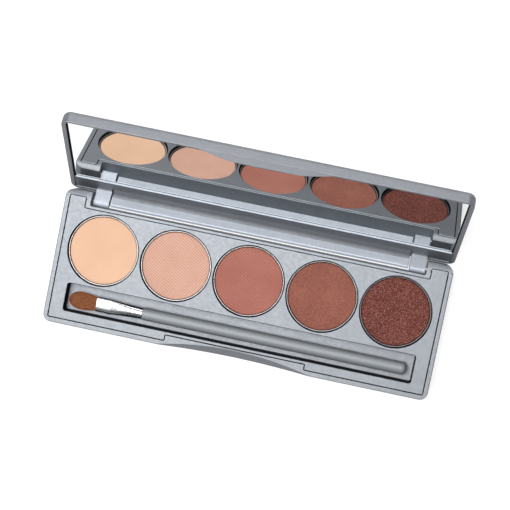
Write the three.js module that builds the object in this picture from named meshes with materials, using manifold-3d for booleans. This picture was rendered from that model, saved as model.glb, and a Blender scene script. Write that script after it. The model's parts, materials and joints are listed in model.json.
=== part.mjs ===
// An eyeshadow palette: a slim base with a drop-in tray of five round pans and a brush trough, a hinged lid
// with a mirror, and a short flat brush. Millimetres, +Z up. The origin is the middle of the base's resting
// face, +X runs along the row of pans and +Y points to the hinge. The lid stands open at LID_ANGLE.
import * as THREE from "three";
import { mergeVertices } from "three/addons/utils/BufferGeometryUtils.js";
import Module from "manifold-3d";

const wasm = await Module();
wasm.setup();

// ---- driving dimensions ----------------------------------------------------------------------------

// Base
const BASE = { length: 144.2, depth: 50, height: 10, corner: 3, edge: 0.5 };
const FRONT = -BASE.depth / 2;
const BACK = BASE.depth / 2;
const SIDE = BASE.length / 2;
const FLOOR = 1.2;
const OVER = 1; // how far a cutter reaches past the face it cuts
const JOIN = 0.5; // how far joined bodies run into each other

// Hinge
const HINGE = { y: 21.8, z: 5.5 };
const LID_ANGLE = 120.1; // degrees from closed
const SLOT = { half: 62.5, front: 19.86 }; // the through slot in the base's back, between the shoulders
const ARM = { inner: 56.2, outer: 62.1, radius: 1.6, face: 20.2, fillet: 1 };
const PIN = { radius: 0.75, start: 56.5, end: 64.9 };
const BORE = { radius: 0.87, start: 56.3, end: 66 }; // the pins' holes in the arms and the shoulders
const SHOULDER_ARC = { from: 90, to: 30 }; // degrees of the shoulders' rounded rear edge, about the hinge

// Tray insert
const FIT = 0.3; // gap between the tray and the base
const TRAY = { half: 70.18, front: -22.95, back: 18.73, plate: 1.2, corner: 0.4 };
const EAR = { inner: 64.38, back: 22.68 }; // the tray's two rear corners, which run into the shoulders
const STEP = { half: 26.3, front: -20.84 }; // the tray steps back behind the thumb scoop
const WELL = { radius: 13.3, floor: 4.6, wall: 0.7, under: 1 };
const TROUGH = { half: 65.27, front: -19.89, back: -9.34, floor: 4, corner: 1, wall: 0.9, under: 1 };
const LEDGE = { width: 1.1, thickness: 1.5, sideFront: -19.25, frontFrom: 30, frontTo: 66, tabHalf: 3.5 };
const RIB = { half: 0.6, front: -19, back: 16 }; // across the base's floor, under the tray

// Pans
const PAN_COUNT = 5;
const PAN_PITCH = 27.3;
const PAN_ROW_Y = 4.7;
const PAN = { radius: 12.9, bottom: 5.2, top: 9, sheet: 0.4, fold: 0.5 };
const POWDER = { radius: 12.42, bottom: 5.7, top: 8.7, soft: 0.35 };
const GLUE_DISC = { radius: 10, bottom: 4.7, top: 5.1 };

// Thumb scoop in the base's front edge, and the lid's tongue above it
const SCOOP = { radius: 120, top: -21.6, lean: 0.472, reach: 34, bottom: 1 };
const TONGUE = { half: 24.5, tip: -22.6, bottom: 8.6, start: 10.4, flat: 0.6 };

// Lid, as it lies when closed
const LID = { bottom: 10.2, top: 15, back: 22.8, round: 1.5 };
const LAND = { z: 10.55, front: 10, back: 22.1, corner: 0.5 }; // the strip between the mirror and the hinge
const RECESS = { half: 70.4, front: -24, back: 15.1, floor: 12.95, corner: 1 };
const SKIRT = { half: 55.8, face: 21.4, bottom: 4.9, fillet: 3 };
const MIRROR = { margin: 0.3, bottom: 11.15, top: 12.4, corner: 1 };
const MIRROR_PAD = { margin: 2.4, bottom: 12.5, top: 12.85 };

// Brush, lying in the trough
const BRUSH = { y: -15.4, z: 6.65 };
const HANDLE = { start: -36.15, end: 62.9, radius: 2.35 };
const FERRULE = { start: -53.7, end: -36.3 };
const BRISTLES = { tip: -64.35, end: -53.9 };

// Sections of the brush's pieces: [x from the piece's left or right end, half width, half thickness]
const HANDLE_NECK = [[0, 2.15, 2.15], [0.2, HANDLE.radius, HANDLE.radius]];
const HANDLE_TIP = [[-2, HANDLE.radius, HANDLE.radius], [-0.9, 2.05, 2.05], [-0.2, 1.3, 1.3], [0, 0.6, 0.6]];
const FERRULE_FLAT = [[0, 2.85, 1.15], [5.2, 2.75, 1.4], [8.2, 2.55, 1.7], [12.2, 2.3, 1.95]];
const FERRULE_MOUTH = [[0, 2.15, 2.1]];
const TUFT = [[0, 0.7, 0.25], [0.7, 1.9, 0.45], [2, 2.85, 0.75], [4, 3.4, 1.05], [7, 3.3, 1.15]];
const TUFT_ROOT = [[0, 2.8, 1.05]];

// ---- colours ---------------------------------------------------------------------------------------

const SILVER = { color: 0xc3c8cd, roughness: 0.38, metalness: 0.55 };
const TIN = { color: 0xd2d4d6, roughness: 0.25, metalness: 1 };
const STEEL = { color: 0xb8babd, roughness: 0.25, metalness: 1 };
const MIRROR_SILVER = { color: 0xe4e8ea, roughness: 0.03, metalness: 1 };
const NICKEL = { color: 0xe2e4e6, roughness: 0.15, metalness: 1 };
const HAIR = { color: 0x96552d, roughness: 0.7, metalness: 0 };
const GLUE = { color: 0xe9e6dc, roughness: 0.8, metalness: 0 };
const FOAM = { color: 0xdedcd4, roughness: 0.8, metalness: 0 };
const POWDER_COLOURS = [0xe8bd90, 0xd8a793, 0xb5705f, 0x8a5747, 0x6e3a36];

// ---- helpers ---------------------------------------------------------------------------------------

function solidOf(geometry) {
  const bare = geometry.clone();
  bare.deleteAttribute("normal");
  bare.deleteAttribute("uv");
  const merged = mergeVertices(bare, 1e-4);
  return new wasm.Manifold(
    new wasm.Mesh({
      numProp: 3,
      vertProperties: new Float32Array(merged.attributes.position.array),
      triVerts: new Uint32Array(merged.index.array),
    }),
  );
}

function geometryOf(solid) {
  const mesh = solid.getMesh();
  const geometry = new THREE.BufferGeometry();
  geometry.setAttribute("position", new THREE.BufferAttribute(mesh.vertProperties, 3));
  geometry.setIndex(new THREE.BufferAttribute(mesh.triVerts, 1));
  geometry.computeVertexNormals();
  return geometry;
}

// A closed outline through corner points [x, y], each corner rounded by radius.
function outline(corners, radius) {
  const shape = new THREE.Shape();
  const points = corners.map(([x, y]) => new THREE.Vector2(x, y));
  points.forEach((corner, i) => {
    const before = points.at(i - 1);
    const after = points[(i + 1) % points.length];
    const from = corner.clone().add(before.clone().sub(corner).setLength(radius));
    const to = corner.clone().add(after.clone().sub(corner).setLength(radius));
    if (i === 0) shape.moveTo(from.x, from.y);
    else shape.lineTo(from.x, from.y);
    shape.quadraticCurveTo(corner.x, corner.y, to.x, to.y);
  });
  shape.closePath();
  return shape;
}

function rectangle(left, front, right, back, radius) {
  return outline([[left, front], [right, front], [right, back], [left, back]], radius);
}

// An outline in the XY plane, extruded from bottom to top.
function prism(shape, bottom, top, curveSegments = 3) {
  const geometry = new THREE.ExtrudeGeometry(shape, {
    depth: top - bottom,
    bevelEnabled: false,
    curveSegments,
  });
  return geometry.translate(0, 0, bottom);
}

// The same, with its top and bottom edges rounded.
function roundedPrism(shape, bottom, top, round) {
  const geometry = new THREE.ExtrudeGeometry(shape, {
    depth: top - bottom - 2 * round,
    bevelSize: round,
    bevelThickness: round,
    bevelOffset: -round,
    bevelSegments: 3,
    curveSegments: 4,
  });
  return geometry.translate(0, 0, bottom + round);
}

// A profile of [y, z] points, extruded along X from left to right.
function bar(profile, left, right) {
  const shape = new THREE.Shape(profile.map(([y, z]) => new THREE.Vector2(y, z)));
  const geometry = new THREE.ExtrudeGeometry(shape, { depth: right - left, bevelEnabled: false });
  const turn = new THREE.Matrix4().set(0, 0, 1, left, 1, 0, 0, 0, 0, 1, 0, 0, 0, 0, 0, 1);
  return geometry.applyMatrix4(turn);
}

function box(left, front, bottom, right, back, top) {
  const geometry = new THREE.BoxGeometry(right - left, back - front, top - bottom);
  return geometry.translate((left + right) / 2, (front + back) / 2, (bottom + top) / 2);
}

// A body and its mirror image across the middle of the palette.
function bothSides(geometry) {
  const solid = solidOf(geometry);
  return solid.add(solid.mirror([1, 0, 0]));
}

// An upright round body from [radius, z] points that start and end on its axis.
function turned(profile, segments) {
  const points = profile.map(([r, z]) => new THREE.Vector2(r, z));
  return new THREE.LatheGeometry(points, segments).rotateX(Math.PI / 2);
}

function disc(radius, bottom, top, segments) {
  return turned([[0, bottom], [radius, bottom], [radius, top], [0, top]], segments);
}

// A round rod along X on the line through [y, z].
function rod(radius, left, right, y, z, segments = 16) {
  const geometry = new THREE.CylinderGeometry(radius, radius, right - left, segments);
  return geometry.rotateZ(Math.PI / 2).translate((left + right) / 2, y, z);
}

// A closed body along X through elliptical sections [x, halfWidth, halfThickness], with flat ends.
function loft(sections, sides = 16) {
  const positions = [];
  const index = [];
  for (const [x, halfWidth, halfThickness] of sections)
    for (let i = 0; i < sides; i++) {
      const turn = (2 * Math.PI * i) / sides;
      positions.push(x, halfWidth * Math.cos(turn), halfThickness * Math.sin(turn));
    }
  for (let s = 0; s + 1 < sections.length; s++)
    for (let i = 0; i < sides; i++) {
      const a = s * sides + i;
      const b = s * sides + ((i + 1) % sides);
      index.push(a, b, a + sides, b, b + sides, a + sides);
    }
  const last = (sections.length - 1) * sides;
  for (let i = 1; i + 1 < sides; i++) {
    index.push(0, i + 1, i);
    index.push(last, last + i, last + i + 1);
  }
  const geometry = new THREE.BufferGeometry();
  geometry.setAttribute("position", new THREE.Float32BufferAttribute(positions, 3));
  geometry.setIndex(index);
  geometry.computeVertexNormals();
  return geometry;
}

function part(name, geometry, look) {
  const mesh = new THREE.Mesh(geometry, new THREE.MeshStandardMaterial(look));
  mesh.name = name;
  return mesh;
}

// The holes of both hinge pins.
function pinBores() {
  return bothSides(rod(BORE.radius, BORE.start, BORE.end, HINGE.y, HINGE.z));
}

// Points [y, z] on an arc about [cy, cz], from one angle to another in degrees.
function arc(cy, cz, radius, from, to, steps) {
  return Array.from({ length: steps + 1 }, (_, i) => {
    const angle = THREE.MathUtils.degToRad(from + ((to - from) * i) / steps);
    return [cy + radius * Math.cos(angle), cz + radius * Math.sin(angle)];
  });
}

// The tray's outline, grown by gap: it steps back at the front and has an ear in each shoulder.
function trayOutline(gap) {
  const { half, front, back } = TRAY;
  const right = [
    [STEP.half - gap, STEP.front - gap],
    [STEP.half - gap, front - gap],
    [half + gap, front - gap],
    [half + gap, EAR.back + gap],
    [EAR.inner - gap, EAR.back + gap],
    [EAR.inner - gap, back + gap],
  ];
  const left = right.map(([x, y]) => [-x, y]).reverse();
  return outline([...right, ...left], TRAY.corner);
}

const panX = (i) => (i - (PAN_COUNT - 1) / 2) * PAN_PITCH;

// ---- base ------------------------------------------------------------------------------------------

// Points [x, y] from x = reach to x = -reach on a shallow curve, y = along(x).
function curveAcross(reach, steps, along) {
  return Array.from({ length: steps + 1 }, (_, i) => {
    const x = reach - (2 * reach * i) / steps;
    return [x, along(x)];
  });
}

function shapeOf(points) {
  return new THREE.Shape(points.map(([x, y]) => new THREE.Vector2(x, y)));
}

// The scoop is a leaning prism: its arc moves towards the front edge on the way down.
function scoopCutter() {
  const { radius, top, lean, reach, bottom } = SCOOP;
  const clear = FRONT - 30;
  const curve = curveAcross(reach, 24, (x) => top - (x * x) / (2 * radius));
  const plan = shapeOf([[-reach, clear], [reach, clear], ...curve]);
  const geometry = prism(plan, bottom, BASE.height + OVER);
  const position = geometry.attributes.position;
  for (let i = 0; i < position.count; i++)
    position.setY(i, position.getY(i) + (position.getZ(i) - BASE.height) * lean);
  return solidOf(geometry);
}

// Takes the rear top edge of the shoulders down to an arc about the hinge, so that the lid swings over it.
function shoulderCutter() {
  const beyond = BACK + OVER;
  const above = BASE.height + OVER;
  const curve = arc(HINGE.y, HINGE.z, BASE.height - HINGE.z, SHOULDER_ARC.from, SHOULDER_ARC.to, 8);
  const profile = [[HINGE.y, above], ...curve, [beyond, curve.at(-1)[1]], [beyond, above]];
  return solidOf(bar(profile, -SIDE - OVER, SIDE + OVER));
}

// Ledges round the pocket that carry the tray's plate, and ribs across the floor under its wells.
function trayRests() {
  const top = BASE.height - TRAY.plate - FIT;
  const bottom = top - LEDGE.thickness;
  const side = TRAY.half + FIT;
  const rear = TRAY.back + FIT;
  const front = TRAY.front - FIT;
  const { width, sideFront, frontFrom, frontTo, tabHalf } = LEDGE;
  let rests = bothSides(box(side - width, sideFront, bottom, side + JOIN, rear, top));
  rests = rests.add(bothSides(box(frontFrom, front - JOIN, bottom, frontTo, front + width, top)));
  for (let i = 0; i + 1 < PAN_COUNT; i++) {
    const x = (panX(i) + panX(i + 1)) / 2;
    const tab = box(x - tabHalf, rear - width, bottom, x + tabHalf, rear + JOIN, top);
    const ribTop = TROUGH.floor - TROUGH.under - FIT;
    const rib = box(x - RIB.half, RIB.front, FLOOR - JOIN, x + RIB.half, RIB.back, ribTop);
    rests = rests.add(solidOf(tab)).add(solidOf(rib));
  }
  return rests;
}

function baseShell() {
  const { height, corner, edge } = BASE;
  const above = height + OVER;
  const block = solidOf(roundedPrism(rectangle(-SIDE, FRONT, SIDE, BACK, corner), 0, height, edge));
  const pocket = solidOf(prism(trayOutline(FIT), FLOOR, above));
  const slot = solidOf(box(-SLOT.half, SLOT.front, -OVER, SLOT.half, BACK + OVER, above));
  const shell = block.subtract(pocket).subtract(slot).subtract(shoulderCutter()).subtract(scoopCutter());
  return geometryOf(shell.add(trayRests()).subtract(pinBores()));
}

// ---- tray ------------------------------------------------------------------------------------------

function trayInsert() {
  const { half, front, back, floor, corner, wall, under } = TROUGH;
  const top = BASE.height;
  const plateBottom = top - TRAY.plate;
  const seam = plateBottom + JOIN;
  const outside = rectangle(-half - wall, front - wall, half + wall, back + wall, corner + wall);
  const plate = solidOf(prism(trayOutline(0), plateBottom, top));
  let tray = plate.add(solidOf(prism(outside, floor - under, seam)));
  for (let i = 0; i < PAN_COUNT; i++) {
    const cup = disc(WELL.radius + WELL.wall, WELL.floor - WELL.under, seam, 32);
    tray = tray.add(solidOf(cup.translate(panX(i), PAN_ROW_Y, 0)));
  }
  for (let i = 0; i < PAN_COUNT; i++) {
    const hollow = disc(WELL.radius, WELL.floor, top + OVER, 40);
    tray = tray.subtract(solidOf(hollow.translate(panX(i), PAN_ROW_Y, 0)));
  }
  const trough = prism(rectangle(-half, front, half, back, corner), floor, top + OVER);
  return geometryOf(tray.subtract(solidOf(trough)));
}

function pan() {
  const { radius, bottom, top, sheet, fold } = PAN;
  const inside = radius - sheet;
  const profile = [
    [0, bottom],
    [radius - fold, bottom],
    [radius, bottom + fold],
    [radius, top],
    [inside, top],
    [inside, bottom + sheet],
    [0, bottom + sheet],
  ];
  return turned(profile, 32);
}

function powder() {
  const { radius, bottom, top, soft } = POWDER;
  return turned([[0, bottom], [radius, bottom], [radius, top - soft], [radius - soft, top], [0, top]], 32);
}

// ---- lid, drawn closed -----------------------------------------------------------------------------

function hingeArm(left, right) {
  const { face, radius, fillet } = ARM;
  const root = LAND.z + JOIN;
  const boss = arc(HINGE.y, HINGE.z, radius, 180, 360, 10);
  const corner = arc(face - fillet, LAND.z - fillet, fillet, 90, 0, 4);
  const profile = [[face - fillet, root], ...corner, ...boss, [LID.back, HINGE.z + radius], [LID.back, root]];
  return bar(profile, left, right);
}

function skirt() {
  const { half, face, bottom, fillet } = SKIRT;
  const root = LAND.z + JOIN;
  const round = (LID.back - face) / 2;
  const profile = [
    [face - fillet, root],
    ...arc(face - fillet, LAND.z - fillet, fillet, 90, 0, 8),
    ...arc(face + round, bottom + round, round, 180, 360, 6),
    [LID.back, root],
  ];
  return bar(profile, -half, half);
}

// A slanted wedge under the front edge, trimmed in plan to a shallow arc that fades out at both ends.
function tongue() {
  const { half, tip, bottom, start, flat } = TONGUE;
  const inset = 0.02;
  const fade = 0.1; // depth left at both ends
  const back = LID.bottom + JOIN;
  const wedge = bar([[FRONT + inset, start], [tip - flat, bottom], [tip, bottom], [tip, back]], -half, half);
  const depth = tip - FRONT - fade;
  const curve = curveAcross(half, 20, (x) => tip - depth * (x / half) ** 2);
  const plan = shapeOf([[-half, FRONT - OVER], [half, FRONT - OVER], ...curve]);
  return solidOf(wedge).intersect(solidOf(prism(plan, bottom - OVER, LID.top)));
}

function lidShell() {
  const { bottom, top, back, round } = LID;
  const low = bottom - 2 * round; // the block is rounded below too, and that lower part is cut away again
  const below = low - OVER;
  const block = solidOf(roundedPrism(rectangle(-SIDE, FRONT, SIDE, back, BASE.corner), low, top, round));
  const underside = solidOf(box(-SIDE - OVER, FRONT - OVER, below, SIDE + OVER, BACK + OVER, bottom));
  const recessPlan = rectangle(-RECESS.half, RECESS.front, RECESS.half, RECESS.back, RECESS.corner);
  const landPlan = rectangle(-RECESS.half, LAND.front, RECESS.half, LAND.back, LAND.corner);
  const recess = solidOf(prism(recessPlan, bottom - OVER, RECESS.floor));
  const land = solidOf(prism(landPlan, bottom - OVER, LAND.z));
  const lid = block.subtract(underside).subtract(recess).subtract(land);
  const hinge = solidOf(skirt()).add(bothSides(hingeArm(ARM.inner, ARM.outer)));
  return geometryOf(lid.add(hinge).add(tongue()).subtract(pinBores()));
}

// A thin sheet in the recess, with a margin left around it.
function sheet({ margin, bottom, top }) {
  const { half, front, back } = RECESS;
  const plan = rectangle(-half + margin, front + margin, half - margin, back - margin, MIRROR.corner);
  return prism(plan, bottom, top);
}

// ---- brush -----------------------------------------------------------------------------------------

// A body along X through sections measured from its left end and then from its right end.
function brushPiece(left, sectionsFromLeft, right, sectionsFromRight) {
  const near = sectionsFromLeft.map(([x, ...sizes]) => [left + x, ...sizes]);
  const far = sectionsFromRight.map(([x, ...sizes]) => [right + x, ...sizes]);
  return loft([...near, ...far]);
}

// ---- assembly --------------------------------------------------------------------------------------

const palette = new THREE.Group();

const base = new THREE.Group();
base.add(part("base_shell", baseShell(), SILVER));
base.add(part("tray_insert", trayInsert(), SILVER));
for (let i = 0; i < PAN_COUNT; i++) {
  const place = new THREE.Group();
  place.position.set(panX(i), PAN_ROW_Y, 0);
  const number = i + 1;
  const disk = disc(GLUE_DISC.radius, GLUE_DISC.bottom, GLUE_DISC.top, 20);
  place.add(part(`pan_adhesive_${number}`, disk, GLUE));
  place.add(part(`pan_${number}`, pan(), TIN));
  place.add(part(`powder_${number}`, powder(), { color: POWDER_COLOURS[i], roughness: 0.9, metalness: 0 }));
  base.add(place);
}
base.add(part("hinge_pin_left", rod(PIN.radius, -PIN.end, -PIN.start, HINGE.y, HINGE.z), STEEL));
base.add(part("hinge_pin_right", rod(PIN.radius, PIN.start, PIN.end, HINGE.y, HINGE.z), STEEL));
palette.add(base);

// The lid turns about the hinge: its pieces are drawn closed and hung from the hinge line.
const lid = new THREE.Group();
lid.position.set(0, HINGE.y, HINGE.z);
lid.rotation.x = -THREE.MathUtils.degToRad(LID_ANGLE);
const lidPieces = [
  part("lid_shell", lidShell(), SILVER),
  part("mirror_glass", sheet(MIRROR), MIRROR_SILVER),
  part("mirror_adhesive", sheet(MIRROR_PAD), FOAM),
];
for (const piece of lidPieces) {
  piece.position.set(0, -HINGE.y, -HINGE.z);
  lid.add(piece);
}
palette.add(lid);

const brush = new THREE.Group();
brush.position.set(0, BRUSH.y, BRUSH.z);
const handle = brushPiece(HANDLE.start, HANDLE_NECK, HANDLE.end, HANDLE_TIP);
const ferrule = brushPiece(FERRULE.start, FERRULE_FLAT, FERRULE.end, FERRULE_MOUTH);
const bristles = brushPiece(BRISTLES.tip, TUFT, BRISTLES.end, TUFT_ROOT);
brush.add(part("brush_handle", handle, SILVER));
brush.add(part("brush_ferrule", ferrule, NICKEL));
brush.add(part("brush_bristles", bristles, HAIR));
palette.add(brush);

export default palette;
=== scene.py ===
import json
import math
import random
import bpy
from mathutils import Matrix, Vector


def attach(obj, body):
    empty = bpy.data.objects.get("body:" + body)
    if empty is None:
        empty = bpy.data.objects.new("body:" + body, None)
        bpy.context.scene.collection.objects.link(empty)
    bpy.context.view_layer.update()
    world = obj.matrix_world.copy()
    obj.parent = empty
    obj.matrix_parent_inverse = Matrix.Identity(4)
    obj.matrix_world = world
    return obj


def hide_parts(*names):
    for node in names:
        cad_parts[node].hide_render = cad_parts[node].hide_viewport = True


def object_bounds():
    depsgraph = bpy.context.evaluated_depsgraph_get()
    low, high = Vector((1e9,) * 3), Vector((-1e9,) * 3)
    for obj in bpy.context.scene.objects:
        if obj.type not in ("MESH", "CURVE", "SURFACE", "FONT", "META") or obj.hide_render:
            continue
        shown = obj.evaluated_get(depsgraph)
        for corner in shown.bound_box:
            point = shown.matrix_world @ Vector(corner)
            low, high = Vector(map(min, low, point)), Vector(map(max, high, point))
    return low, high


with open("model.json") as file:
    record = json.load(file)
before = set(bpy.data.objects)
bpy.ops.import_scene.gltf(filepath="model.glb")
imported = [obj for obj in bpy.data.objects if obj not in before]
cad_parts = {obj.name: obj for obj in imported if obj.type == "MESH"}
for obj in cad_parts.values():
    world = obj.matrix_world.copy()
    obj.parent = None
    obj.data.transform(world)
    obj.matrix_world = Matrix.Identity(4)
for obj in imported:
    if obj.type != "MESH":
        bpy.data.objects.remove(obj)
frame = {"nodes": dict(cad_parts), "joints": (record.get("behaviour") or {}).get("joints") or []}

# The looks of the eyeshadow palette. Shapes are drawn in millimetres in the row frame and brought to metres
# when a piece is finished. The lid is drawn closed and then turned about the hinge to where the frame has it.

from types import SimpleNamespace

import bmesh
import bpy
from mathutils import Matrix, Vector

MM = 0.001
CAD_BOX = [list(corner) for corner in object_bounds()]
random.seed(7)  # the brush's hairs are drawn from it

# ---- measures from the frame -------------------------------------------------------------------------

HINGE_JOINT = next(joint for joint in frame["joints"] if joint["name"] == "lid_hinge")
HINGE_Y = HINGE_JOINT["pos_m"][1] / MM
HINGE_Z = HINGE_JOINT["pos_m"][2] / MM
LID_ANGLE = max(HINGE_JOINT["range_deg"])  # degrees from closed, as the frame's lid stands
HINGE_POINT = Vector((0, HINGE_Y, HINGE_Z))


def turned(angle):
    """A turn about the hinge line, in degrees: positive closes the lid."""
    there = Matrix.Translation(HINGE_POINT)
    return there @ Matrix.Rotation(math.radians(angle), 4, "X") @ there.inverted()


def span(node, matrix=Matrix.Identity(4)):
    """A CAD node's box in millimetres, after a turn."""
    points = [matrix @ (vertex.co / MM) for vertex in frame["nodes"][node].data.vertices]
    low = [min(point[axis] for point in points) for axis in range(3)]
    high = [max(point[axis] for point in points) for axis in range(3)]
    return SimpleNamespace(
        left=low[0], front=low[1], bottom=low[2], right=high[0], back=high[1], top=high[2],
        middle=[(a + b) / 2 for a, b in zip(low, high)],
    )


BASE = span("base_shell")
TRAY = span("tray_insert")
LID = span("lid_shell", turned(LID_ANGLE))
MIRROR = span("mirror_glass", turned(LID_ANGLE))
HANDLE = span("brush_handle")
FERRULE = span("brush_ferrule")
BRISTLES = span("brush_bristles")
PANS = [span(f"pan_{number}") for number in range(1, 6)]
POWDERS = [span(f"powder_{number}") for number in range(1, 6)]

# ---- measures of the finer shapes, in millimetres ----------------------------------------------------

CORNER = 3  # plan corners of the base and the lid
FLOOR = 1.2
FIT = 0.3  # gap round the tray
PLATE = 1.2  # thickness of the tray's plate
EAR_INNER = 64.38
EAR_STEP = 3.95  # how far the tray's rear edge lies in front of its ears
SCOOP_STEP = SimpleNamespace(half=26.3, depth=2.11)  # the tray's front edge steps back behind the scoop
WELL = SimpleNamespace(radius=13.3, floor=4.6, wall=0.7, under=1)
TROUGH = SimpleNamespace(half=65.27, front=-19.89, back=-9.34, floor=4, corner=1, wall=0.9, under=1)
PAN = SimpleNamespace(sheet=0.32, foot=0.5, roll=0.11)
FRAME_SHEET = 0.4  # thickness of the frame's pans, which the frame's powders fit
SLOT = SimpleNamespace(half=62.5, front=19.86)  # the through slot between the hinge shoulders
SCOOP = SimpleNamespace(radius=120, top=-21.6, lean=3.4 / 7.2, reach=34)
PIN = SimpleNamespace(radius=0.75, chamfer=0.15)
PIN_BORE = SimpleNamespace(radius=0.87, inner=61, outer=66, past=0.2)  # inner to outer in the shoulders

LAND = SimpleNamespace(z=10.55, front=10, back=22.1)  # the flat behind the recess, which its cutter overlaps
RECESS = SimpleNamespace(half=70.4, front=-24, back=15.1, floor=12.95)
EDGE_HEIGHT = 0.6  # of the steep chamfer between the land and the recess
SKIRT = SimpleNamespace(half=55.8, face=21.4, bottom=4.9, fillet=3)
ARM = SimpleNamespace(inner=56.2, outer=62.1, radius=1.6, fillet=1)
ROOT = SimpleNamespace(top=LAND.z + 0.5, past=0.2)  # how far the skirt and the arms reach into the lid
RIM_Z = 10.2  # the lid's rim plane when closed
TONGUE = SimpleNamespace(half=24.5, tip=-22.6, bottom=8.6, start=10.4, flat=0.6)
LID_ROUND = 1.9
PAINTED_HIGHLIGHT = SimpleNamespace(lip=-5, foot=-5.5, chamfer=-4.5)  # shade values of the faces that carry painted highlights

# ---- solids ------------------------------------------------------------------------------------------


def solid(points, faces):
    """An object from points and faces, with doubled points merged and its faces turned out."""
    mesh = bpy.data.meshes.new("solid")
    mesh.from_pydata(points, [], faces)
    shape = bmesh.new()
    shape.from_mesh(mesh)
    bmesh.ops.remove_doubles(shape, verts=shape.verts, dist=1e-5)
    bmesh.ops.recalc_face_normals(shape, faces=shape.faces)
    shape.to_mesh(mesh)
    shape.free()
    thing = bpy.data.objects.new("solid", mesh)
    bpy.context.scene.collection.objects.link(thing)
    return thing


def skin(rings):
    """A solid through equal rings of points, with a face over each end."""
    count = len(rings[0])
    points = [point for ring in rings for point in ring]
    faces = [tuple(range(count))[::-1], tuple(range(len(points) - count, len(points)))]
    for start in range(0, len(points) - count, count):
        for i in range(count):
            a = start + i
            b = start + (i + 1) % count
            faces.append((a, b, b + count, a + count))
    return solid(points, faces)


def outline(corners, radii, grow=0.0, steps=6):
    """Points round a polygon that runs anticlockwise, each corner rounded, its edges moved out by grow."""
    if not isinstance(radii, (list, tuple)):
        radii = [radii] * len(corners)
    points = []
    for i, corner in enumerate(corners):
        here = Vector(corner)
        before = (here - Vector(corners[i - 1])).normalized()
        after = (Vector(corners[(i + 1) % len(corners)]) - here).normalized()
        out = Vector((before.y, -before.x))
        out_after = Vector((after.y, -after.x))
        side = 1 if before.x * after.y - before.y * after.x > 0 else -1
        angle = side * before.angle(after)
        radius = max(radii[i] + side * grow, 0)
        moved = here + (out + out_after) * grow / (1 + out.dot(out_after))
        start = moved - before * radius * math.tan(abs(angle) / 2)
        centre = start - out * radius * side
        for step in range(steps + 1):
            arm = out * radius * side
            arm.rotate(Matrix.Rotation(angle * step / steps, 2))
            points.append(tuple(centre + arm))
    return points


def rectangle(left, front, right, back, radius):
    """A plan: a function that gives the rounded rectangle's outline at a given grow."""
    corners = [(left, front), (right, front), (right, back), (left, back)]
    return lambda grow: outline(corners, radius, grow)


def quarter(steps):
    """Angles of a quarter turn, in equal steps."""
    return [math.pi / 2 * step / steps for step in range(steps + 1)]


def slab(bottom, top, lower, upper, steps=5):
    """Levels (height, grow) of a plate whose lower and upper edges are rounded."""
    below = [(bottom + lower * (1 - math.cos(a)), -lower * (1 - math.sin(a))) for a in quarter(steps)]
    above = [(top - upper * (1 - math.sin(a)), -upper * (1 - math.cos(a))) for a in quarter(steps)]
    return below + above


def hollow(floor, mouth, fillet, lip, steps=5):
    """Levels of a cutter that sinks from mouth to floor: a fillet round the floor and a rounded lip."""
    way = 1 if mouth > floor else -1
    past = 0.004  # the lip ends a hair beyond the mouth, so that the cut leaves no sliver
    beyond = 3
    levels = [(floor + way * fillet * (1 - math.cos(a)), -fillet * (1 - math.sin(a))) for a in quarter(steps)]
    for a in quarter(steps):
        levels.append((mouth + way * (past - lip * (1 - math.sin(a))), lip * (1 - math.cos(a))))
    levels.append((mouth + way * beyond, lip))
    return levels[::way]


def stack(plan, levels):
    """An upright solid through the plan's outline at each level."""
    return skin([[(x, y, height) for x, y in plan(grow)] for height, grow in levels])


def bar(section, levels):
    """A solid along X: the section's outline (y, z) at each level (x, grow)."""
    return skin([[(x, y, z) for y, z in section(grow)] for x, grow in levels])


def circle(radius, segments=96):
    """A plan: a circle about the Z axis."""
    turns = [2 * math.pi * i / segments for i in range(segments)]

    def plan(grow):
        return [((radius + grow) * math.cos(turn), (radius + grow) * math.sin(turn)) for turn in turns]

    return plan


def moved(thing, x, y, z=0):
    """The same object, its mesh shifted."""
    thing.data.transform(Matrix.Translation((x, y, z)))
    return thing


def rod(radius, left, right, chamfer=0.0, segments=48):
    """A rod along X on the hinge line."""
    levels = [(left, 0), (right, 0)]
    if chamfer:
        levels = [(left, -chamfer), (left + chamfer, 0), (right - chamfer, 0), (right, -chamfer)]
    return moved(bar(circle(radius, segments), levels), 0, HINGE_Y, HINGE_Z)


def combine(body, others, operation):
    """Joins the others to body, or cuts them from it, and removes them."""
    for other in others:
        change = body.modifiers.new(operation.lower(), "BOOLEAN")
        change.operation = operation
        change.solver = "MANIFOLD"
        change.object = other
    bpy.context.view_layer.update()
    result = bpy.data.meshes.new_from_object(body.evaluated_get(bpy.context.evaluated_depsgraph_get()))
    body.modifiers.clear()
    body.data = result
    for other in others:
        bpy.data.objects.remove(other)
    return body


def join(body, *others):
    """One solid from body and the others, which overlap it."""
    return combine(body, others, "UNION")


def cut(body, *others):
    """What is left of body outside the others."""
    return combine(body, others, "DIFFERENCE")


def shade(thing, share):
    """Gives each face its share of its material's painted shade, up to 1, or of its painted highlight,
    below 0. The share is worked out from the face's middle and normal."""
    values = [min(share(face.center, face.normal), 1.0) for face in thing.data.polygons]
    thing.data.attributes.new("shade", "FLOAT", "FACE").data.foreach_set("value", values)
    return thing


# ---- materials ---------------------------------------------------------------------------------------

WHITE = (1, 1, 1, 1)
WAVE_PERIOD = 2 * math.pi / 20  # of Blender's wave texture at a scale of 1


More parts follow.
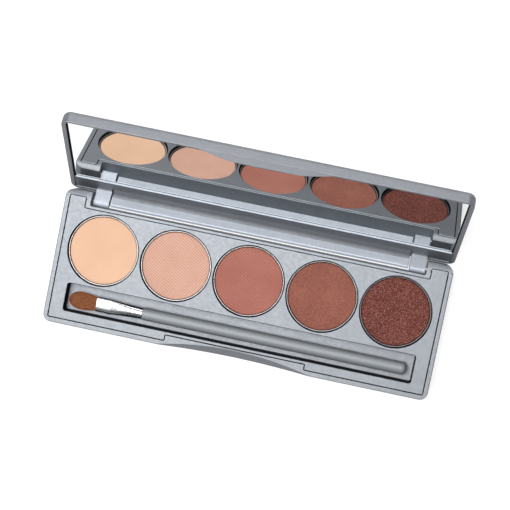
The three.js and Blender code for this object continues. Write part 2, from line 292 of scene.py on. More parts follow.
class Surface:
    """A Principled material and short ways to add texture nodes to it."""

    def __init__(self, name, **values):
        self.material = bpy.data.materials.new(name)
        self.material.use_nodes = True
        self.tree = self.material.node_tree
        self.shader = self.tree.nodes["Principled BSDF"]
        for key, value in values.items():
            self.shader.inputs[key.replace("_", " ")].default_value = value
        self.place = self.add("ShaderNodeTexCoord").outputs["Object"]

    def add(self, kind, inputs=None, **settings):
        """A node, with its inputs linked to sockets or set to values."""
        node = self.tree.nodes.new(kind)
        for key, value in settings.items():
            setattr(node, key, value)
        for key, value in (inputs or {}).items():
            if isinstance(value, bpy.types.NodeSocket):
                self.tree.links.new(value, node.inputs[key])
            else:
                node.inputs[key].default_value = value
        return node

    def mapped(self, stretch=(1, 1, 1), turn=0.0):
        """Object coordinates, turned about Z and stretched."""
        inputs = {"Vector": self.place, "Scale": stretch, "Rotation": (0, 0, math.radians(turn))}
        return self.add("ShaderNodeMapping", inputs).outputs["Vector"]

    def noise(self, size, detail=2.0, stretch=(1, 1, 1)):
        """Soft noise whose features are about size millimetres."""
        inputs = {"Vector": self.mapped(stretch), "Scale": 1 / (size * MM), "Detail": detail}
        return self.add("ShaderNodeTexNoise", inputs).outputs["Fac"]

    def flakes(self, size):
        """A random grey for each small cell of about size millimetres."""
        inputs = {"Vector": self.mapped(), "Scale": 1 / (size * MM)}
        cells = self.add("ShaderNodeTexVoronoi", inputs).outputs["Color"]
        return self.add("ShaderNodeSeparateColor", {"Color": cells}).outputs["Red"]

    def waves(self, size, turn):
        """Straight ridges size millimetres apart, from 0 to 1."""
        inputs = {"Vector": self.mapped(turn=turn), "Scale": WAVE_PERIOD / (size * MM), "Distortion": 0.0}
        return self.add("ShaderNodeTexWave", inputs, wave_type="BANDS", bands_direction="X").outputs["Fac"]

    def shade(self):
        """The shares of painted shade or painted highlight that the piece's faces carry."""
        return self.add("ShaderNodeAttribute", attribute_name="shade").outputs["Fac"]

    def compute(self, operation, a, b):
        """A sum or a product of two numbers."""
        return self.add("ShaderNodeMath", {0: a, 1: b}, operation=operation).outputs["Value"]

    def ramp(self, value, low, high, start=0.0, end=1.0):
        """Between two colours or two numbers, as value runs from start to end."""
        if isinstance(low, (int, float)):
            inputs = {"Value": value, "From Min": start, "From Max": end, "To Min": low, "To Max": high}
            return self.add("ShaderNodeMapRange", inputs).outputs["Result"]
        part = self.ramp(value, 0.0, 1.0, start, end)
        return self.mix(part, low, high)

    def mix(self, part, low, high, blend="MIX"):
        """Two colours, blended by part."""
        node = self.add("ShaderNodeMix", data_type="RGBA", blend_type=blend)
        factor, first, second = 0, 6, 7
        for index, value in {factor: part, first: low, second: high}.items():
            if isinstance(value, bpy.types.NodeSocket):
                self.tree.links.new(value, node.inputs[index])
            else:
                node.inputs[index].default_value = value
        return node.outputs[2]

    def link(self, key, socket):
        """Feeds one of the shader's inputs."""
        self.tree.links.new(socket, self.shader.inputs[key])

    def bump(self, *layers):
        """Bump layers, each (height socket, depth in millimetres), on the shader's normal."""
        normal = None
        for height, depth in layers:
            inputs = {"Height": height, "Distance": depth * MM, "Strength": 1.0}
            if normal is not None:
                inputs["Normal"] = normal
            normal = self.add("ShaderNodeBump", inputs).outputs["Normal"]
        self.link("Normal", normal)


def srgb(red, green, blue):
    """A colour from its 0 to 255 values, as the shader's linear RGBA."""

    def linear(value):
        value /= 255
        return value / 12.92 if value <= 0.04045 else ((value + 0.055) / 1.055) ** 2.4

    return (linear(red), linear(green), linear(blue), 1.0)


def moulded_silver(name, light, dark, roughness):
    """Silver-pigmented moulded plastic: fine flakes, faint flow clouds and a satin spark-eroded skin. Walls
    in hollows carry painted shade, and faces with a shade value below 0 carry painted highlights, a little
    rougher."""
    surface = Surface(name, Metallic=0.92, Specular_Tint=(0.35, 0.35, 0.36, 1))
    flakes = surface.ramp(surface.flakes(0.09), dark, light)
    clouds = surface.ramp(surface.noise(7, 3), (0.95, 0.95, 0.96, 1), WHITE, 0.35, 0.65)
    whole = surface.mix(1.0, flakes, clouds, "MULTIPLY")
    # painted shade on walls in hollows; painted highlight on faces with a shade value below 0
    painted_shade = surface.mix(surface.shade(), WHITE, (0.16, 0.16, 0.17, 1))
    painted_highlight = surface.ramp(surface.shade(), (3.1, 3.1, 3.1, 1), WHITE, -6.0, 0.0)
    painted_light = surface.mix(1.0, painted_shade, painted_highlight, "MULTIPLY")
    surface.link("Base Color", surface.mix(1.0, whole, painted_light, "MULTIPLY"))
    satin = surface.ramp(surface.noise(1.4, 3), roughness - 0.03, roughness + 0.04, 0.3, 0.7)
    highlight_roughness = surface.ramp(surface.shade(), 0.22, 0.0, -1.6, 0.0)
    surface.link("Roughness", surface.compute("ADD", satin, highlight_roughness))
    surface.bump((surface.noise(0.16, 2), 0.012))
    return surface.material


def pan_tin():
    """Dull tinplate, drawn and tumbled. Its walls and rim carry painted shade."""
    surface = Surface("pan_tin", Metallic=1.0)
    whole = surface.ramp(surface.noise(0.8, 4), srgb(190, 188, 188), srgb(212, 211, 212))
    # painted shade: the tin darkens where the shade attribute says
    held = surface.mix(surface.shade(), WHITE, (0.025, 0.02, 0.02, 1))
    surface.link("Base Color", surface.mix(1.0, whole, held, "MULTIPLY"))
    surface.link("Roughness", surface.ramp(surface.noise(0.5, 3), 0.46, 0.56))
    surface.bump((surface.noise(0.3, 3), 0.006))
    return surface.material


def pressed_powder(name, light, dark, grain, print_share=0.0, sparkle=None):
    """Pressed powder: fine grain in its colour and surface, the cloth print of its press, as strong as
    print_share, and mica flakes coloured sparkle. Its edge, in the pan's shadow, is darker and warmer."""
    clouds = 0.3
    thread = 0.5
    surface = Surface(name, Roughness=0.9, Specular_IOR_Level=0.12, Sheen_Weight=0.03, Sheen_Roughness=0.5)
    fine = surface.noise(0.1 + 0.5 * grain, 4)
    patches = surface.compute("MULTIPLY", surface.noise(9, 1), clouds)
    tone = surface.compute("ADD", surface.compute("MULTIPLY", fine, 1 - clouds), patches)
    layers = [(fine, 0.03 * grain + 0.012)]
    colours = surface.ramp(tone, dark, light, 0.3, 0.7)
    if print_share:
        cloth = surface.compute("MULTIPLY", surface.waves(thread, 56), surface.waves(thread, -34))
        layers.append((cloth, 0.05 * print_share))
        worn = surface.ramp(cloth, (0.5, 0.47, 0.46, 1), (1.35, 1.35, 1.35, 1), 0.0, 0.8)
        colours = surface.mix(print_share, colours, worn, "MULTIPLY")
    if sparkle:
        flakes = surface.flakes(0.2)
        shine = surface.ramp(flakes, 0.0, 1.0, 0.6, 1.0)
        colours = surface.mix(surface.compute("MULTIPLY", shine, 0.4), colours, sparkle)
        surface.link("Metallic", surface.compute("MULTIPLY", shine, 0.35))
        surface.link("Roughness", surface.ramp(flakes, 0.75, 0.5, 0.5, 1.0))
        layers.append((flakes, 0.02))
    edge = surface.mix(surface.shade(), WHITE, (0.36, 0.22, 0.18, 1))
    surface.link("Base Color", surface.mix(1.0, colours, edge, "MULTIPLY"))
    surface.bump(*layers)
    return surface.material


def mirror_silver():
    """Silvered glass, with the faintest haze."""
    surface = Surface("mirror", Metallic=1.0)
    haze = surface.noise(30, 2)
    surface.link("Base Color", surface.ramp(haze, (0.81, 0.825, 0.825, 1), (0.83, 0.845, 0.845, 1)))
    surface.link("Roughness", surface.ramp(surface.noise(6, 4), 0.006, 0.018, 0.4, 0.7))
    return surface.material


def ferrule_chrome():
    """Nickel-plated brass tube, drawn lengthways."""
    surface = Surface("ferrule_chrome", Metallic=1.0)
    streaks = surface.noise(0.25, 4, (0.05, 1, 1))
    surface.link("Base Color", surface.ramp(streaks, srgb(150, 152, 154), srgb(172, 174, 176)))
    surface.link("Roughness", surface.ramp(streaks, 0.24, 0.3))
    surface.bump((streaks, 0.004))
    return surface.material


def handle_silver():
    """Silver lacquer over a turned handle, with fine marks round it."""
    surface = Surface("handle_silver", Metallic=0.55, Specular_IOR_Level=0.3)
    rings = surface.noise(0.2, 3, (1, 0.08, 0.08))
    surface.link("Base Color", surface.ramp(surface.flakes(0.07), srgb(134, 138, 142), srgb(152, 156, 160)))
    surface.link("Roughness", surface.ramp(rings, 0.58, 0.68))
    surface.bump((rings, 0.006))
    return surface.material


def hair():
    """Golden-brown synthetic hair, each strand a little different along and across the tuft."""
    surface = Surface("bristle", Roughness=0.45, Specular_IOR_Level=0.4, Sheen_Weight=0.2)
    strands = surface.noise(0.12, 3, (0.06, 1, 1))
    tone = surface.ramp(strands, srgb(88, 46, 20), srgb(156, 90, 44), 0.36, 0.64)
    surface.link("Base Color", tone)
    surface.bump((strands, 0.02))
    return surface.material


def plain_steel():
    """Ground steel, a little cloudy."""
    surface = Surface("pin_steel", Metallic=1.0)
    surface.link("Base Color", surface.ramp(surface.noise(0.5, 3), srgb(160, 162, 165), srgb(196, 198, 200)))
    surface.link("Roughness", surface.ramp(surface.noise(0.3, 2), 0.2, 0.35))
    return surface.material


def glue():
    """Off-white glue and foam, faintly mottled."""
    surface = Surface("glue", Roughness=0.8)
    surface.link("Base Color", surface.ramp(surface.noise(1.2, 3), srgb(222, 218, 206), srgb(236, 233, 224)))
    surface.bump((surface.noise(0.4, 3), 0.03))
    return surface.material


def paper_floor():
    """White paper, lit from behind, so that it stays white around soft shadows."""
    surface = Surface("floor", Roughness=0.9, Emission_Color=WHITE, Emission_Strength=0.8)
    mottle = surface.noise(40, 2)
    surface.link("Base Color", surface.ramp(mottle, (0.27, 0.27, 0.27, 1), (0.29, 0.29, 0.29, 1)))
    return surface.material


# ---- finishing a piece -------------------------------------------------------------------------------

SMOOTH_UNDER = math.radians(32)


def finish(thing, name, body, material):
    """Brings a drawn piece to metres, smooths its rounded edges and gives it its body and its material. It
    stands for the node of the same name without _look."""
    thing.name = name
    thing.data.name = name
    thing.data.transform(Matrix.Scale(MM, 4))
    if body == "lid":
        there = Matrix.Translation(HINGE_POINT * MM)
        back = Matrix.Rotation(math.radians(-LID_ANGLE), 4, "X")
        thing.data.transform(there @ back @ there.inverted())
    thing.data.shade_smooth()
    thing.data.set_sharp_from_angle(angle=SMOOTH_UNDER)
    normals = thing.modifiers.new("flat_faces_stay_flat", "WEIGHTED_NORMAL")
    normals.keep_sharp = True
    thing.data.materials.clear()
    thing.data.materials.append(material)
    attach(thing, body)
    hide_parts(name.removesuffix("_look"))


# ---- base --------------------------------------------------------------------------------------------


def tray_plan(grow):
    """The tray's outline: it steps back behind the scoop and has an ear in each hinge shoulder."""
    half = TRAY.right
    rear = TRAY.back - EAR_STEP
    right = [
        (SCOOP_STEP.half, TRAY.front + SCOOP_STEP.depth),
        (SCOOP_STEP.half, TRAY.front),
        (half, TRAY.front),
        (half, TRAY.back),
        (EAR_INNER, TRAY.back),
        (EAR_INNER, rear),
    ]
    left = [(-x, y) for x, y in reversed(right)]
    return outline(right + left, 0.4, grow)


def scoop():
    """The cutter for the thumb scoop: an arc on the land that leans towards the front on its way down."""
    floor = 1
    clear = 30
    steps = 48

    def plan(grow):
        xs = [SCOOP.reach * (1 - 2 * i / steps) for i in range(steps + 1)]
        curve = [(x, SCOOP.top + grow - x * x / (2 * SCOOP.radius)) for x in xs]
        return [(-SCOOP.reach, BASE.front - clear), (SCOOP.reach, BASE.front - clear), *curve]

    cutter = stack(plan, hollow(floor, BASE.top, fillet=0.3, lip=0.25))
    for vertex in cutter.data.vertices:
        vertex.co.y += (vertex.co.z - BASE.top) * SCOOP.lean
    return cutter


def shoulder_round():
    """The cutter that takes the shoulders' rear top edge down to an arc about the hinge."""
    radius = BASE.top - HINGE_Z
    past = 1
    sweep = 60
    steps = 20
    angles = [math.radians(90 - sweep * i / steps) for i in range(steps + 1)]
    curve = [(HINGE_Y + radius * math.cos(a), HINGE_Z + radius * math.sin(a)) for a in angles]
    section = [
        (HINGE_Y, BASE.top + past),
        *curve,
        (BASE.back + past, curve[-1][1]),
        (BASE.back + past, BASE.top + past),
    ]
    return bar(lambda grow: section, [(BASE.left - past, 0), (BASE.right + past, 0)])


def flank(normal):
    """How nearly upright a face stands: 1 for a wall, and 0 or less for a slope under 37 degrees."""
    return 1.25 * (1 - abs(normal.z)) - 0.25


def slopes(normal):
    """Whether a face belongs to a rounded upper edge."""
    return 0.2 < normal.z < 0.98


def base_painted_light(middle, normal):
    """The walls of the tray's pocket carry painted shade, and the slot's front lip a painted highlight.
    The rest of the slot, the scoop and the outside carry neither."""
    beside = abs(middle.x)
    pocket_wall = beside < TRAY.right + 1 and TRAY.front - 1 < middle.y < TRAY.back + 1
    slot_wall = beside < SLOT.half + 1 and middle.y > SLOT.front - 0.2
    scoop_wall = beside < SCOOP_STEP.half - 1 and middle.y < TRAY.front + SCOOP_STEP.depth - FIT - 0.1
    if slot_wall and middle.y < SLOT.front + 0.3 and slopes(normal):
        return PAINTED_HIGHLIGHT.lip
    return max(flank(normal), 0) if pocket_wall and not slot_wall and not scoop_wall else 0


def base_shell():
    """The lower case: a rounded block with the tray's pocket, the hinge's slot, the scoop and the bores."""
    plan = rectangle(BASE.left, BASE.front, BASE.right, BASE.back, CORNER)
    shell = stack(plan, slab(BASE.bottom, BASE.top, lower=0.5, upper=0.35))
    pocket = stack(lambda grow: tray_plan(grow + FIT), hollow(FLOOR, BASE.top, fillet=0.2, lip=0.08))
    past = 6
    slot_plan = rectangle(-SLOT.half, SLOT.front, SLOT.half, BASE.back + past, 0.5)
    through = [(BASE.bottom - 1, 0), *hollow(BASE.bottom + 1, BASE.top, fillet=0, lip=0.12)]
    bores = [
        rod(PIN_BORE.radius, PIN_BORE.inner, PIN_BORE.outer),
        rod(PIN_BORE.radius, -PIN_BORE.outer, -PIN_BORE.inner),
    ]
    return shade(cut(shell, pocket, stack(slot_plan, through), shoulder_round(), scoop(), *bores), base_painted_light)


def tray_painted_light(middle, normal):
    """The walls carry painted shade, and the lip along the back of the trough a painted shadow; the rear
    edge carries a painted highlight.
    """
    back_lip = normal.y < -0.15 and abs(middle.y - TROUGH.back) < 0.5 and abs(middle.x) < TROUGH.half
    rear_edge = slopes(normal) and middle.y > TRAY.back - EAR_STEP - 0.2 and normal.y > 0.2
    return PAINTED_HIGHLIGHT.lip if rear_edge else max(flank(normal), back_lip, 0)


def tray_insert():
    """A plate with five round wells and the brush's trough hanging from it."""
    top = TRAY.top
    under = top - PLATE
    overlap = 0.2
    tray = stack(tray_plan, slab(under, top, lower=0.1, upper=0.16))
    half, front, back, corner, wall = TROUGH.half, TROUGH.front, TROUGH.back, TROUGH.corner, TROUGH.wall
    inside = rectangle(-half, front, half, back, corner)
    outside = rectangle(-half - wall, front - wall, half + wall, back + wall, corner + wall)
    bodies = [stack(outside, slab(TROUGH.floor - TROUGH.under, under + overlap, lower=0.4, upper=0))]
    hollows = [stack(inside, hollow(TROUGH.floor, top, fillet=0.5, lip=0.2))]
    for pan in PANS:
        x, y, _ = pan.middle
        cup = slab(WELL.floor - WELL.under, under + overlap, lower=0.4, upper=0)
        bodies.append(moved(stack(circle(WELL.radius + WELL.wall), cup), x, y))
        well = hollow(WELL.floor, top, fillet=0.3, lip=0.08)
        hollows.append(moved(stack(circle(WELL.radius), well), x, y))
    return shade(cut(join(tray, *bodies), *hollows), tray_painted_light)


def pan(place, rim_shade):
    """A drawn tin cup with a rolled rim and a rounded foot."""
    radius = (place.right - place.left) / 2
    segments = 128
    cup = slab(place.bottom, place.top, PAN.foot, PAN.roll)
    inside = hollow(place.bottom + PAN.sheet, place.top, PAN.foot, PAN.roll)

    def pan_shade(middle, normal):
        """Painted shade on walls and rim, more for darker powders; painted shadow at the rim's left and rear.
        """
        outward = normal.x * middle.x + normal.y * middle.y > 0
        wall = (1 if outward else 0.6) * (1.6 * (1 - abs(normal.z)) - 0.3)
        rear, left = 0.82, 0.57
        towards = max(rear * middle.y - left * middle.x, 0) / radius
        edge = 1.4 * towards if math.hypot(middle.x, middle.y) > radius - PAN.roll else 0
        return max(wall, edge, rim_shade + (1 - rim_shade) * (0.6 + 0.5 * rim_shade) * towards)

    body = cut(stack(circle(radius, segments), cup), stack(circle(radius - PAN.sheet, segments), inside))
    return moved(shade(body, pan_shade), *place.middle[:2])


def powder(place, seed):
    """A pressed cake: a nearly flat top with a soft, slightly crumbled shoulder."""
    radius = (place.right - place.left) / 2 + FRAME_SHEET - PAN.sheet
    segments = 160
    shoulder = 0.35
    steps = 6
    foot = 0.3
    inset = 0.02
    draw = random.Random(seed)

    def ripple():
        """One wave round the edge: how often it repeats, where it starts and how deep it is."""
        return draw.randint(3, 40), draw.uniform(0, 2 * math.pi), draw.uniform(0.004, 0.014)

    ripples = [ripple() for _ in range(10)]

    def ring(inwards, height, crumble):
        """A line of points round the cake, set inwards and made ragged by a share of the ripples."""
        points = []
        for i in range(segments):
            turn = 2 * math.pi * i / segments
            ragged = sum(depth * (1 + math.sin(count * turn + phase)) for count, phase, depth in ripples)
            reach = radius - inwards - crumble * ragged
            points.append((reach * math.cos(turn), reach * math.sin(turn), height))
        return points

    rings = [ring(foot, place.bottom, 0), ring(inset, place.bottom + foot, 0)]
    for a in quarter(steps):
        height = place.top - shoulder * (1 - math.sin(a))
        rings.append(ring(shoulder * (1 - math.cos(a)) + inset, height, math.sin(a)))

    def rim_shadow(middle, normal):
        """Painted shadow of the pan's rim: the shoulder is darker, most of all on its left and rear side."""
        return (2.4 - 2.8 * normal.x + 3 * normal.y) * (1 - normal.z)

    return shade(moved(skin(rings), *place.middle[:2]), rim_shadow)


# ---- lid, drawn closed -------------------------------------------------------------------------------


def skirt():
    """The wall under the lid's rear edge, which swings in the base's slot."""
    face, fillet, back = SKIRT.face, SKIRT.fillet, LID.back
    inside = face - fillet - ROOT.past
    edge = 0.68
    corners = [
        (face, SKIRT.bottom),
        (back, SKIRT.bottom),
        (back, ROOT.top),
        (inside, ROOT.top),
        (inside, LAND.z),
        (face, LAND.z),
    ]

    def section(grow):
        return outline(corners, [edge, edge, 0, 0, 0, fillet], grow, 10)

    return bar(section, slab(-SKIRT.half, SKIRT.half, 0.25, 0.25))


def hinge_arm(side):
    """An arm that hangs from the lid, round about its pin; side is -1 for the left one."""
    radius, fillet = ARM.radius, ARM.fillet
    face = HINGE_Y - radius
    inside = face - fillet - ROOT.past
    barrel = radius - 0.02
    corners = [
        (face, HINGE_Z - radius),
        (HINGE_Y + radius, HINGE_Z - radius),
        (HINGE_Y + radius, HINGE_Z + 0.3),
        (LID.back, HINGE_Z + radius),
        (LID.back, ROOT.top),
        (inside, ROOT.top),
        (inside, LAND.z),
        (face, LAND.z),
    ]

    def section(grow):
        return outline(corners, [barrel, barrel, 0.3, 0.5, 0, 0, 0, fillet], grow, 8)

    ends = sorted((side * ARM.inner, side * ARM.outer))
    return bar(section, slab(*ends, 0.3, 0.3))


def tongue():
    """A slanted wedge under the front edge that fades out to both sides."""
    half, tip, bottom, start = TONGUE.half, TONGUE.tip, TONGUE.bottom, TONGUE.start
    front = LID.front + 0.02
    slope = (bottom - start) / (tip - TONGUE.flat - front)
    root = RIM_Z + 0.3
    stations = 40
    rings = []
    for i in range(stations + 1):
        x = half * (2 * i / stations - 1)
        end = tip + (front + 0.1 - tip) * (x / half) ** 2
        knee = min(end - 0.05, tip - TONGUE.flat)
        low = start + slope * (knee - front)
        lower = [(front, start), (knee, low), (end - 0.03, low + 0.01), (end, low + 0.05)]
        rings.append([(x, y, z) for y, z in [*lower, (end, root), (front, root)]])
    return skin(rings)


def hinge_painted_light(middle, normal):
    """Of the skirt and the arms, the fillets carry painted shade, and the faces and the foot carry painted
    highlights, brighter to the left.
    """
    on_skirt = abs(middle.x) < SKIRT.half
    fillet = SKIRT.fillet if on_skirt else ARM.fillet
    # painted shade in the fillets
    if middle.z > LAND.z - fillet and normal.y < -0.05 and normal.z < -0.1:
        turn = math.degrees(math.atan2(-normal.z, -normal.y))
        darkest, at, within = 0.72, 33, 27
        return darkest * max(1 - ((turn - at) / within) ** 2, 0)
    # painted highlight on the skirt's foot
    if normal.z < -0.5 and middle.z < SKIRT.bottom + 1:
        return PAINTED_HIGHLIGHT.foot
    # painted highlight on the faces, brighter to the left
    highlight, fade = (2.9, 0.035) if on_skirt else (3.25, 0.0135)
    return fade * middle.x - highlight if normal.y < -0.5 else 0


def lid_painted_light(middle, normal):
    """Of the lid, the recess's side walls carry painted shade, and its rear wall the darkest painted shade,
    over a chamfer with a painted highlight.
    """
    beside = abs(middle.x)
    within = RECESS.half + 0.3
    if middle.z < LAND.z + 0.05 and middle.y > SKIRT.face - SKIRT.fillet - 0.05 and beside < ARM.outer:
        return hinge_painted_light(middle, normal)
    if normal.y < -0.3 and abs(middle.y - RECESS.back) < 0.5 and beside < within:
        return PAINTED_HIGHLIGHT.chamfer if middle.z < LAND.z + EDGE_HEIGHT else 1
    enclosed = beside < within and RECESS.front - 0.3 < middle.y < LAND.back
    side_wall = abs(normal.x) > 0.5 or normal.y > 0.5
    return max(flank(normal), 0) if enclosed and side_wall else 0


def lid_shell():
    """The lid: a rounded plate with the mirror's recess and a lower land behind it, and the hinge's parts."""
    half, back, low = RECESS.half, RECESS.back, LAND.z
    plan = rectangle(LID.left, LID.front, LID.right, LID.back, CORNER)
    shell = stack(plan, slab(RIM_Z, LID.top, lower=0.25, upper=LID_ROUND, steps=8))
    recess_plan = rectangle(-half, RECESS.front, half, back, 1)
    recess = stack(recess_plan, hollow(RECESS.floor, RIM_Z, fillet=0.2, lip=0.15))
    land_plan = rectangle(-half, LAND.front, half, LAND.back, 0.5)
    land = stack(land_plan, hollow(low, RIM_Z, fillet=0.1, lip=0.1))
    corner = [(back - 0.3, low - 0.15), (back + 0.15, low - 0.15), (back - 0.03, low + EDGE_HEIGHT * 1.25)]
    chamfer = bar(lambda grow: corner, [(0.2 - half, 0), (half - 0.2, 0)])
    shell = join(cut(shell, recess, land, chamfer), skirt(), hinge_arm(-1), hinge_arm(1), tongue())
    inner = span("hinge_pin_right").left - PIN_BORE.past
    bores = [rod(PIN_BORE.radius, inner, SLOT.half), rod(PIN_BORE.radius, -SLOT.half, -inner)]
    return shade(cut(shell, *bores), lid_painted_light)


def mirror_glass():
    """A plate of mirror glass with ground edges."""
    plan = rectangle(MIRROR.left, MIRROR.front, MIRROR.right, MIRROR.back, 1)
    return stack(plan, slab(MIRROR.bottom, MIRROR.top, lower=0.2, upper=0.1, steps=2))


# ---- brush -------------------------------------------------------------------------------------------

BRUSH_Y = HANDLE.middle[1]
BRUSH_Z = HANDLE.middle[2]


def tube(sections, segments=64, squareness=lambda x: 2.0):
    """A solid along X through rounded sections (x, half width, half thickness), ellipses at squareness 2."""
    rings = []
    for x, width, thickness in sections:
        power = 2 / squareness(x)
        ring = []
        for i in range(segments):
            turn = 2 * math.pi * i / segments
            across, up = math.cos(turn), math.sin(turn)
            ring.append((
                x,
                BRUSH_Y + width * math.copysign(abs(across) ** power, across),
                BRUSH_Z + thickness * math.copysign(abs(up) ** power, up),
            ))
        rings.append(ring)
    return skin(rings)


def smooth_sections(keys, steps):
    """Sections between the key ones (x, half width, half thickness), eased with a smooth curve."""
    sections = []
    for i, (start, end) in enumerate(zip(keys, keys[1:])):
        before = keys[max(i - 1, 0)]
        after = keys[min(i + 2, len(keys) - 1)]
        gap = end[0] - start[0]
        for step in range(steps):
            t = step / steps
            sizes = []
            for k in (1, 2):
                slope_in = (end[k] - before[k]) / (end[0] - before[0]) * gap
                slope_out = (after[k] - start[k]) / (after[0] - start[0]) * gap
                sizes.append(
                    (2 * t**3 - 3 * t**2 + 1) * start[k]
                    + (t**3 - 2 * t**2 + t) * slope_in
                    + (3 * t**2 - 2 * t**3) * end[k]
                    + (t**3 - t**2) * slope_out
                )
            sections.append((start[0] + gap * t, *sizes))
    sections.append(keys[-1])
    return sections


def brush_handle():
    """A turned handle with a square shoulder at the ferrule and a domed end."""
    start, end = HANDLE.left, HANDLE.right
    radius = (HANDLE.top - HANDLE.bottom) / 2
    dome = 1.9
    edge = 0.2
    sections = []
    for a in quarter(4):
        r = radius - edge * (1 - math.sin(a))
        sections.append((start + edge * (1 - math.cos(a)), r, r))
    for a in quarter(10):
        r = radius - dome * (1 - math.cos(a))
        sections.append((end - dome * (1 - math.sin(a)), r, r))
    return tube(sections)


def brush_ferrule():
    """A tube that is round at the handle and pinched flat at the hair, where its mouth is open."""
    start, end = FERRULE.left, FERRULE.right
    pinch = start + 5.2
    wall = 0.16
    width, thickness = 2.83, 1.13
    taper = [(pinch, 2.78, 1.4), (pinch + 3, 2.55, 1.7), (pinch + 7, 2.3, 1.95), (end, 2.12, 2.06)]

    def square(x):
        """Squarish at the hair and nearly round at the handle."""
        return 3.4 - 1.3 * min(max((x - pinch) / 8, 0), 1)

    body = tube([(start, width, thickness), *smooth_sections(taper, 8)], squareness=square)
    inner, thin = width - wall, thickness - wall
    mouth = [(start - 1, inner, thin), (start + 1.5, inner - 0.02, thin)]
    return cut(body, tube(mouth, squareness=square))


TUFT = SimpleNamespace(tip=BRISTLES.left, root=BRISTLES.right, widest=3.4, thickest=1.12)
TUFT_ENDS = [(0.0, 0.5), (0.7, 1.9), (2.0, 2.85), (4.0, 3.35), (TUFT.root - TUFT.tip, TUFT.widest)]
HAIR = SimpleNamespace(count=1500, radius=0.055, sides=3, stations=7, held=0.35)


def hair_end(width):
    """How far behind the tuft's tip a hair ends, for its distance from the middle."""
    for (near, narrow), (far, wide) in zip(TUFT_ENDS, TUFT_ENDS[1:]):
        if width <= wide:
            return near + (far - near) * max(width - narrow, 0) / (wide - narrow)
    return TUFT.root - TUFT.tip


def tuft_size(x):
    """The tuft's half width, which fans out from the root, and its half thickness, which thins to the tip."""
    t = min(max((TUFT.root - x) / 5.5, 0), 1)
    fan = 0.76 + 0.24 * math.sin(t * math.pi / 2)
    flat = 1 - 0.72 * max((TUFT.root - x) / (TUFT.root - TUFT.tip), 0) ** 2
    return TUFT.widest * fan, TUFT.thickest * flat


def one_hair():
    """The points of one tapered hair, ring by ring from its root, at a random place in the tuft."""
    angle = random.uniform(0, 2 * math.pi)
    out = math.sqrt(random.random())
    across, up = out * math.cos(angle), out * math.sin(angle)
    end = TUFT.tip + hair_end(abs(across) * TUFT.widest) + random.uniform(0, 0.5) + 0.6 * up * up
    bend = random.uniform(-0.06, 0.06)
    points = []
    for station in range(HAIR.stations):
        t = station / (HAIR.stations - 1)
        x = TUFT.root + HAIR.held + (end - TUFT.root - HAIR.held) * t
        width, thickness = tuft_size(x)
        radius = HAIR.radius * (1 - 0.75 * t**3)
        y = BRUSH_Y + (across * (width - HAIR.radius) + bend * t * t)
        z = BRUSH_Z + up * (thickness - HAIR.radius)
        for side in range(HAIR.sides):
            turn = 2 * math.pi * side / HAIR.sides
            points.append((x, y + radius * math.cos(turn), z + radius * math.sin(turn)))
    return points


def hair_faces(first):
    """The faces of the hair whose points start at index first."""
    sides = HAIR.sides
    last = first + (HAIR.stations - 1) * sides
    faces = []
    for ring in range(first, last, sides):
        for side in range(sides):
            a = ring + side
            b = ring + (side + 1) % sides
            faces.append((a, b, b + sides, a + sides))
    return [*faces, tuple(range(first, first + sides)), tuple(range(last, last + sides))]


def tuft_core():
    """A plain core inside the hairs, so that nothing shows between them."""
    steps = 12
    sections = []
    for step in range(steps + 1):
        x = TUFT.root + 0.3 - (TUFT.root - TUFT.tip - 1.2) * step / steps
        width, thickness = tuft_size(x)
        limit = next((wide for far, wide in reversed(TUFT_ENDS) if TUFT.tip + far <= x), TUFT_ENDS[0][1])
        sections.append((x, min(width, limit) * 0.9, thickness * 0.75))
    return tube(sections, 32)


def brush_bristles():
    """A flat domed tuft: a core and hundreds of tapered hairs, each as long as the tuft is where it grows."""
    hairs = [one_hair() for _ in range(HAIR.count)]
    core = tuft_core()
    points = [tuple(vertex.co) for vertex in core.data.vertices]
    faces = [tuple(face.vertices) for face in core.data.polygons]
    bpy.data.objects.remove(core)
    for hair_points in hairs:
        faces += hair_faces(len(points))
        points += hair_points
    return solid(points, faces)


# ---- assembly ----------------------------------------------------------------------------------------

case_silver = moulded_silver("silver_plastic", srgb(152, 155, 160), srgb(137, 141, 146), 0.58)
finish(base_shell(), "base_shell_look", "base", case_silver)
finish(tray_insert(), "tray_insert_look", "base", case_silver)

MICA = srgb(204, 148, 133)
POWDER_LOOKS = {
    "powder_peach": dict(light=srgb(222, 184, 155), dark=srgb(213, 171, 142), grain=0.3, print_share=0.08),
    "powder_pink": dict(light=srgb(231, 187, 168), dark=srgb(218, 170, 148), grain=0.35, print_share=0.95),
    "powder_coral": dict(light=srgb(192, 131, 116), dark=srgb(172, 107, 95), grain=0.4, print_share=0.95),
    "powder_brown": dict(light=srgb(158, 102, 88), dark=srgb(122, 73, 61), grain=0.8, print_share=0.3),
    "powder_burgundy": dict(light=srgb(106, 54, 46), dark=srgb(76, 35, 31), grain=0.8, sparkle=MICA),
}
RIM_SHADE = [0.02, 0.06, 0.28, 0.4, 0.68]  # painted shade on each pan's rim, more for the darker powders
tin = pan_tin()
powders = [(slot, pressed_powder(slot, **look)) for slot, look in POWDER_LOOKS.items()]
for index, (slot, look) in enumerate(powders):
    number = index + 1
    finish(pan(PANS[index], RIM_SHADE[index]), f"pan_{number}_look", "base", tin)
    finish(powder(POWDERS[index], number), f"powder_{number}_look", "base", look)

finish(lid_shell(), "lid_shell_look", "lid", case_silver)
finish(mirror_glass(), "mirror_glass_look", "lid", mirror_silver())

finish(brush_handle(), "brush_handle_look", "brush", handle_silver())
finish(brush_ferrule(), "brush_ferrule_look", "brush", ferrule_chrome())
finish(brush_bristles(), "brush_bristles_look", "brush", hair())

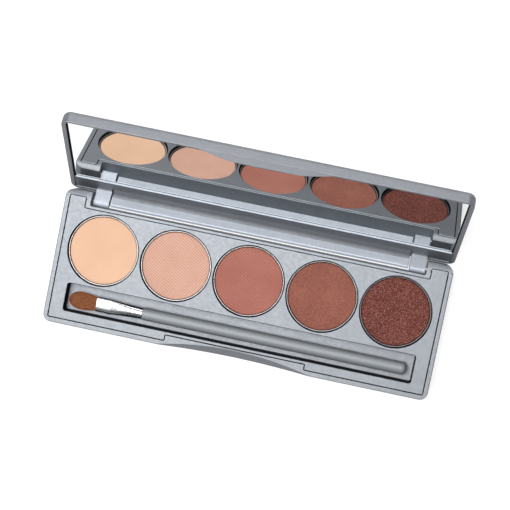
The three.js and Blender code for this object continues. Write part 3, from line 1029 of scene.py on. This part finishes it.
steel = plain_steel()
for side in ("left", "right"):
    ends = span(f"hinge_pin_{side}")
    pin = rod(PIN.radius, ends.left, ends.right, PIN.chamfer)
    finish(pin, f"hinge_pin_{side}_look", "base", steel)

# The glue under the pans and the foam behind the mirror stay as the frame has them.
glue_look = glue()
for node_name in [*(f"pan_adhesive_{number}" for number in range(1, 6)), "mirror_adhesive"]:
    node = frame["nodes"][node_name]
    node.data.materials.clear()
    node.data.materials.append(glue_look)

# ---- stage, light and camera -------------------------------------------------------------------------


def floor():
    """A plain square of paper, a hair under the palette."""
    size = 3
    gap = 0.00005
    corners = [(-size, -size, 0), (size, -size, 0), (size, size, 0), (-size, size, 0)]
    mesh = bpy.data.meshes.new("floor")
    mesh.from_pydata(corners, [], [(0, 1, 2, 3)])
    mesh.materials.append(paper_floor())
    thing = bpy.data.objects.new("floor", mesh)
    thing.location.z = CAD_BOX[0][2] - gap
    bpy.context.scene.collection.objects.link(thing)


def softbox(name, place, target, width, height, power):
    """A rectangular lamp, aimed at target."""
    light = bpy.data.lights.new(name, "AREA")
    light.shape = "RECTANGLE"
    light.size = width
    light.size_y = height
    light.energy = power
    thing = bpy.data.objects.new(name, light)
    thing.location = place
    aim = Vector(target) - Vector(place)
    thing.rotation_euler = aim.to_track_quat("-Z", "Y").to_euler()
    bpy.context.scene.collection.objects.link(thing)


def camera():
    """Almost straight above, 0.54 m away, turned a little so that the row of pans falls to the right."""
    place = Vector((0.03223, 0.06105, 0.53758))
    forward = Vector((-0.0599, -0.0875, -0.9944)).normalized()
    up = Vector((-0.2031, 0.9764, -0.0737))
    right = forward.cross(up).normalized()
    up = right.cross(forward)
    lens = bpy.data.cameras.new("camera")
    lens.sensor_width = 36
    lens.lens = 102.88
    lens.clip_start = 0.01
    thing = bpy.data.objects.new("camera", lens)
    turn = Matrix((right, up, -forward)).transposed().to_4x4()
    thing.matrix_world = Matrix.Translation(place) @ turn
    bpy.context.scene.collection.objects.link(thing)
    bpy.context.scene.camera = thing


def studio():
    """The room's own light: dim and a little cool."""
    world = bpy.data.worlds.new("studio")
    world.use_nodes = True
    background = world.node_tree.nodes["Background"]
    background.inputs["Color"].default_value = (0.9, 0.92, 0.95, 1)
    background.inputs["Strength"].default_value = 0.06
    bpy.context.scene.world = world


floor()
centre = (0, 0, 0.01)
softbox("key", (-0.18, 0.11, 0.96), centre, width=0.5, height=0.58, power=11.4)
softbox("back", (-0.05, 0.86, 0.48), centre, width=0.7, height=0.4, power=3.2)
softbox("front", (-0.5, -0.6, 0.4), centre, width=0.5, height=0.5, power=2.2)
studio()
bpy.context.scene.view_settings.view_transform = "Standard"
camera()
